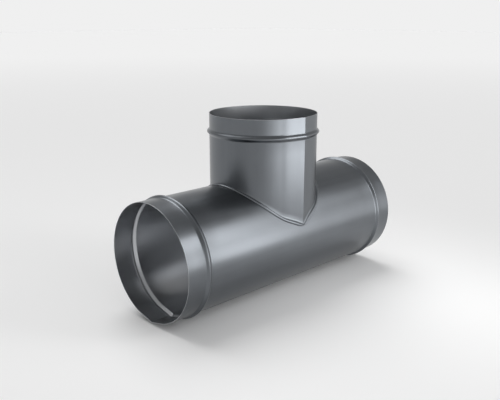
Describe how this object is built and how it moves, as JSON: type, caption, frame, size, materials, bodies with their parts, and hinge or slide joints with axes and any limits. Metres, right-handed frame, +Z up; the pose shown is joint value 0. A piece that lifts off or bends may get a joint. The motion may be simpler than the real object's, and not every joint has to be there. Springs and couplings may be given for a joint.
{
  "type": "round duct tee",
  "caption": "Round sheet-steel duct tee: a beaded run with a beaded branch on its middle, joined by a hemmed saddle flange.",
  "frame": {"origin": "centre of the mouth of the run's inlet collar, on the run's axis", "axes": "+X along the run from inlet to outlet, +Z up along the branch, and the run's seam underneath"},
  "size_m": [0.514, 0.2078, 0.3207],
  "materials": {
    "galvanised_sheet": "plain galvanised sheet steel, satin"
  },
  "bodies": {
    "root": {"run_tube": "galvanised_sheet", "branch_tube": "galvanised_sheet"}
  },
  "joints": []
}
